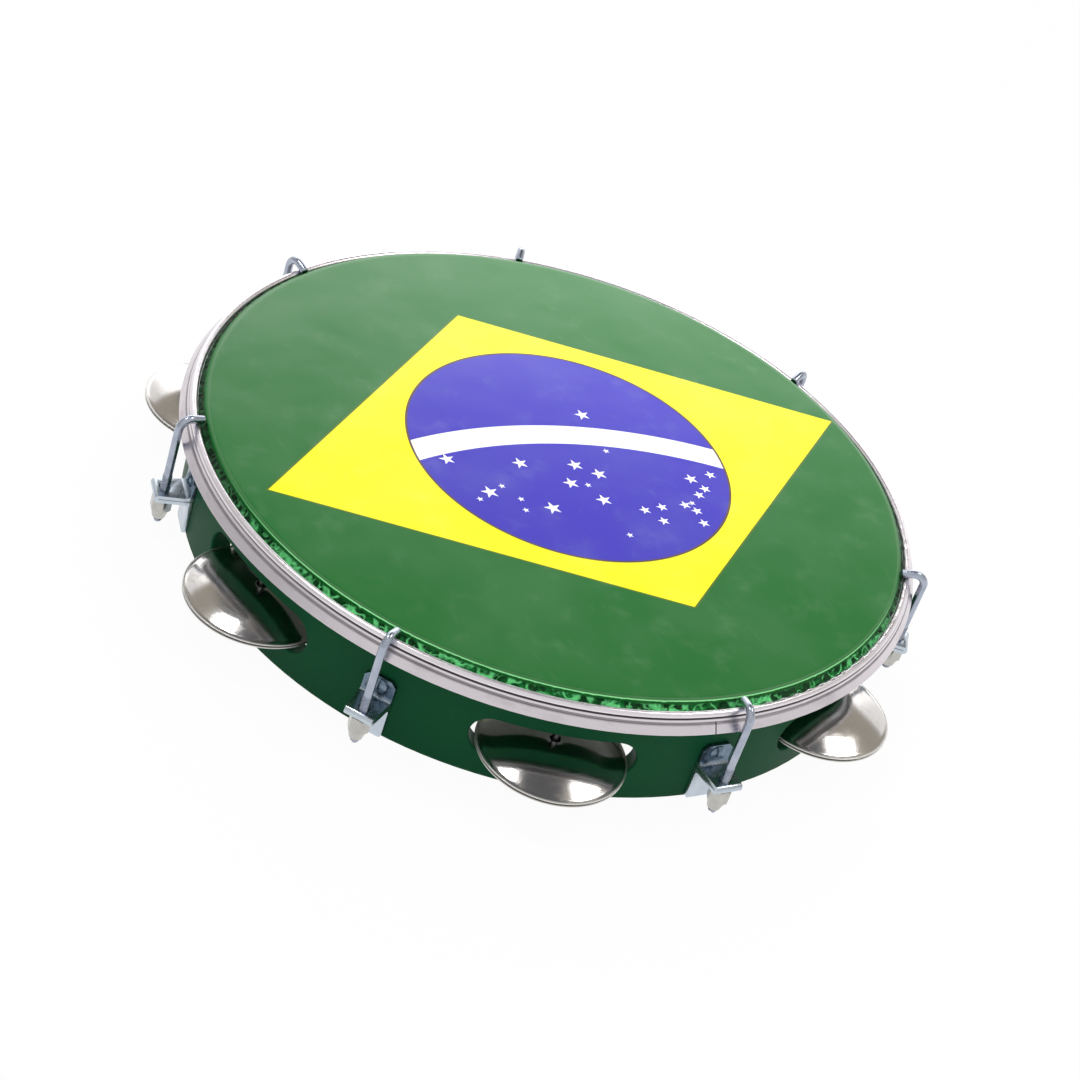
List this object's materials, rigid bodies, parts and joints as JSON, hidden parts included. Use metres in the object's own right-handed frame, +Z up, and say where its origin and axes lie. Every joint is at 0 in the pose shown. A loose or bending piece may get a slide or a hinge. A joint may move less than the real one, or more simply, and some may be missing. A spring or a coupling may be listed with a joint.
{
  "type": "pandeiro",
  "caption": "Frame drum with a printed film head, steel tuning hoop with hooks and lugs, and jingle sets on pins in slots round its green shell.",
  "frame": {"origin": "centre of the circle on which the shell's lower edge rests, on the drum's axis", "axes": "+Z up along the drum's axis through the head; +X along the long side of the figure printed on the head"},
  "size_m": [0.3495, 0.3468, 0.0547],
  "materials": {
    "shell_green": "satin green lacquer over a bent ply shell",
    "head_film": "printed film, satin green with a yellow rhombus and a blue disc",
    "hoop_aluminium": "plain drawn channel, mostly hidden",
    "hoop_steel": "rolled steel with a soft satin polish",
    "zinc_plate": "bright bluish zinc plating",
    "pin_steel": "dark drawn wire",
    "jingle_steel": "spun and polished stainless sheet"
  },
  "bodies": {
    "drum": {"shell": "shell_green", "drumhead": "head_film", "tuning_lug_1": "zinc_plate", "tuning_lug_2": "zinc_plate", "tuning_lug_3": "zinc_plate", "tuning_lug_4": "zinc_plate", "tuning_lug_5": "zinc_plate", "tuning_lug_6": "zinc_plate", "tuning_lug_7": "zinc_plate", "lug_bolts": "zinc_plate", "lug_washers": "zinc_plate", "lug_nuts": "zinc_plate", "jingle_pin_1": "pin_steel", "jingle_pin_2": "pin_steel", "jingle_pin_3": "pin_steel", "jingle_pin_4": "pin_steel", "jingle_pin_5": "pin_steel", "jingle_pin_6": "pin_steel", "jingle_pin_7": "pin_steel"},
    "hoop": {"counter_hoop": "hoop_steel", "flesh_hoop": "hoop_aluminium", "tension_hook_1": "zinc_plate", "tension_hook_2": "zinc_plate", "tension_hook_3": "zinc_plate", "tension_hook_4": "zinc_plate", "tension_hook_5": "zinc_plate", "tension_hook_6": "zinc_plate", "tension_hook_7": "zinc_plate"},
    "nut_1": {"tuning_nut_1": "zinc_plate"},
    "nut_2": {"tuning_nut_2": "zinc_plate"},
    "nut_3": {"tuning_nut_3": "zinc_plate"},
    "nut_4": {"tuning_nut_4": "zinc_plate"},
    "nut_5": {"tuning_nut_5": "zinc_plate"},
    "nut_6": {"tuning_nut_6": "zinc_plate"},
    "nut_7": {"tuning_nut_7": "zinc_plate"},
    "jingle_low_1": {"jingle_lower_1": "jingle_steel"},
    "jingle_mid_1": {"jingle_plate_1": "jingle_steel"},
    "jingle_top_1": {"jingle_upper_1": "jingle_steel"},
    "jingle_low_2": {"jingle_lower_2": "jingle_steel"},
    "jingle_mid_2": {"jingle_plate_2": "jingle_steel"},
    "jingle_top_2": {"jingle_upper_2": "jingle_steel"},
    "jingle_low_3": {"jingle_lower_3": "jingle_steel"},
    "jingle_mid_3": {"jingle_plate_3": "jingle_steel"},
    "jingle_top_3": {"jingle_upper_3": "jingle_steel"},
    "jingle_low_4": {"jingle_lower_4": "jingle_steel"},
    "jingle_mid_4": {"jingle_plate_4": "jingle_steel"},
    "jingle_top_4": {"jingle_upper_4": "jingle_steel"},
    "jingle_low_5": {"jingle_lower_5": "jingle_steel"},
    "jingle_mid_5": {"jingle_plate_5": "jingle_steel"},
    "jingle_top_5": {"jingle_upper_5": "jingle_steel"},
    "jingle_low_6": {"jingle_lower_6": "jingle_steel"},
    "jingle_mid_6": {"jingle_plate_6": "jingle_steel"},
    "jingle_top_6": {"jingle_upper_6": "jingle_steel"},
    "jingle_low_7": {"jingle_lower_7": "jingle_steel"},
    "jingle_mid_7": {"jingle_plate_7": "jingle_steel"},
    "jingle_top_7": {"jingle_upper_7": "jingle_steel"}
  },
  "joints": [
    {"name": "head_tuning", "type": "slide", "parent": "drum", "child": "hoop", "axis": [0, 0, 1], "range_m": [0, 0.003]},
    {"name": "nut_turn_1", "type": "hinge", "parent": "drum", "child": "nut_1", "pos_m": [0.15948, 0.03691, 0.01], "axis": [0, 0, -1], "range_deg": [0, 1600]},
    {"name": "nut_turn_2", "type": "hinge", "parent": "drum", "child": "nut_2", "pos_m": [0.06669, 0.1495, 0.01], "axis": [0, 0, -1], "range_deg": [0, 1600]},
    {"name": "nut_turn_3", "type": "hinge", "parent": "drum", "child": "nut_3", "pos_m": [-0.05407, 0.15451, 0.01], "axis": [0, 0, -1], "range_deg": [0, 1600]},
    {"name": "nut_turn_4", "type": "hinge", "parent": "drum", "child": "nut_4", "pos_m": [-0.15673, 0.04727, 0.01], "axis": [0, 0, -1], "range_deg": [0, 1600]},
    {"name": "nut_turn_5", "type": "hinge", "parent": "drum", "child": "nut_5", "pos_m": [-0.13484, -0.09283, 0.01], "axis": [0, 0, -1], "range_deg": [0, 1600]},
    {"name": "nut_turn_6", "type": "hinge", "parent": "drum", "child": "nut_6", "pos_m": [-0.00864, -0.16347, 0.01], "axis": [0, 0, -1], "range_deg": [0, 1600]},
    {"name": "nut_turn_7", "type": "hinge", "parent": "drum", "child": "nut_7", "pos_m": [0.12448, -0.10631, 0.01], "axis": [0, 0, -1], "range_deg": [0, 1600]},
    {"name": "jingle_lift_1", "type": "slide", "parent": "drum", "child": "jingle_low_1", "axis": [0, 0, 1], "range_m": [0, 0.0025]},
    {"name": "jingle_spin_1", "type": "hinge", "parent": "jingle_low_1", "child": "jingle_mid_1", "pos_m": [0.14232, -0.04023, 0.0174], "axis": [0, 0, 1], "continuous": true},
    {"name": "jingle_clap_1", "type": "slide", "parent": "jingle_mid_1", "child": "jingle_top_1", "axis": [0, 0, 1], "range_m": [0, 0.0025]},
    {"name": "jingle_lift_2", "type": "slide", "parent": "drum", "child": "jingle_low_2", "axis": [0, 0, 1], "range_m": [0, 0.0025]},
    {"name": "jingle_spin_2", "type": "hinge", "parent": "jingle_low_2", "child": "jingle_mid_2", "pos_m": [0.12019, 0.08619, 0.0174], "axis": [0, 0, 1], "continuous": true},
    {"name": "jingle_clap_2", "type": "slide", "parent": "jingle_mid_2", "child": "jingle_top_2", "axis": [0, 0, 1], "range_m": [0, 0.0025]},
    {"name": "jingle_lift_3", "type": "slide", "parent": "drum", "child": "jingle_low_3", "axis": [0, 0, 1], "range_m": [0, 0.0025]},
    {"name": "jingle_spin_3", "type": "hinge", "parent": "jingle_low_3", "child": "jingle_mid_3", "pos_m": [0.00755, 0.14771, 0.0174], "axis": [0, 0, 1], "continuous": true},
    {"name": "jingle_clap_3", "type": "slide", "parent": "jingle_mid_3", "child": "jingle_top_3", "axis": [0, 0, 1], "range_m": [0, 0.0025]},
    {"name": "jingle_lift_4", "type": "slide", "parent": "drum", "child": "jingle_low_4", "axis": [0, 0, 1], "range_m": [0, 0.0025]},
    {"name": "jingle_spin_4", "type": "hinge", "parent": "jingle_low_4", "child": "jingle_mid_4", "pos_m": [-0.10939, 0.09954, 0.0174], "axis": [0, 0, 1], "continuous": true},
    {"name": "jingle_clap_4", "type": "slide", "parent": "jingle_mid_4", "child": "jingle_top_4", "axis": [0, 0, 1], "range_m": [0, 0.0025]},
    {"name": "jingle_lift_5", "type": "slide", "parent": "drum", "child": "jingle_low_5", "axis": [0, 0, 1], "range_m": [0, 0.0025]},
    {"name": "jingle_spin_5", "type": "hinge", "parent": "jingle_low_5", "child": "jingle_mid_5", "pos_m": [-0.14622, -0.02219, 0.0174], "axis": [0, 0, 1], "continuous": true},
    {"name": "jingle_clap_5", "type": "slide", "parent": "jingle_mid_5", "child": "jingle_top_5", "axis": [0, 0, 1], "range_m": [0, 0.0025]},
    {"name": "jingle_lift_6", "type": "slide", "parent": "drum", "child": "jingle_low_6", "axis": [0, 0, 1], "range_m": [0, 0.0025]},
    {"name": "jingle_spin_6", "type": "hinge", "parent": "jingle_low_6", "child": "jingle_mid_6", "pos_m": [-0.07044, -0.13005, 0.0174], "axis": [0, 0, 1], "continuous": true},
    {"name": "jingle_clap_6", "type": "slide", "parent": "jingle_mid_6", "child": "jingle_top_6", "axis": [0, 0, 1], "range_m": [0, 0.0025]},
    {"name": "jingle_lift_7", "type": "slide", "parent": "drum", "child": "jingle_low_7", "axis": [0, 0, 1], "range_m": [0, 0.0025]},
    {"name": "jingle_spin_7", "type": "hinge", "parent": "jingle_low_7", "child": "jingle_mid_7", "pos_m": [0.05823, -0.13595, 0.0174], "axis": [0, 0, 1], "continuous": true},
    {"name": "jingle_clap_7", "type": "slide", "parent": "jingle_mid_7", "child": "jingle_top_7", "axis": [0, 0, 1], "range_m": [0, 0.0025]}
  ],
  "couplings": [
    {"joint": "nut_turn_1", "follows": "head_tuning", "rad_per_m": 8976},
    {"joint": "nut_turn_2", "follows": "head_tuning", "rad_per_m": 8976},
    {"joint": "nut_turn_3", "follows": "head_tuning", "rad_per_m": 8976},
    {"joint": "nut_turn_4", "follows": "head_tuning", "rad_per_m": 8976},
    {"joint": "nut_turn_5", "follows": "head_tuning", "rad_per_m": 8976},
    {"joint": "nut_turn_6", "follows": "head_tuning", "rad_per_m": 8976},
    {"joint": "nut_turn_7", "follows": "head_tuning", "rad_per_m": 8976}
  ]
}
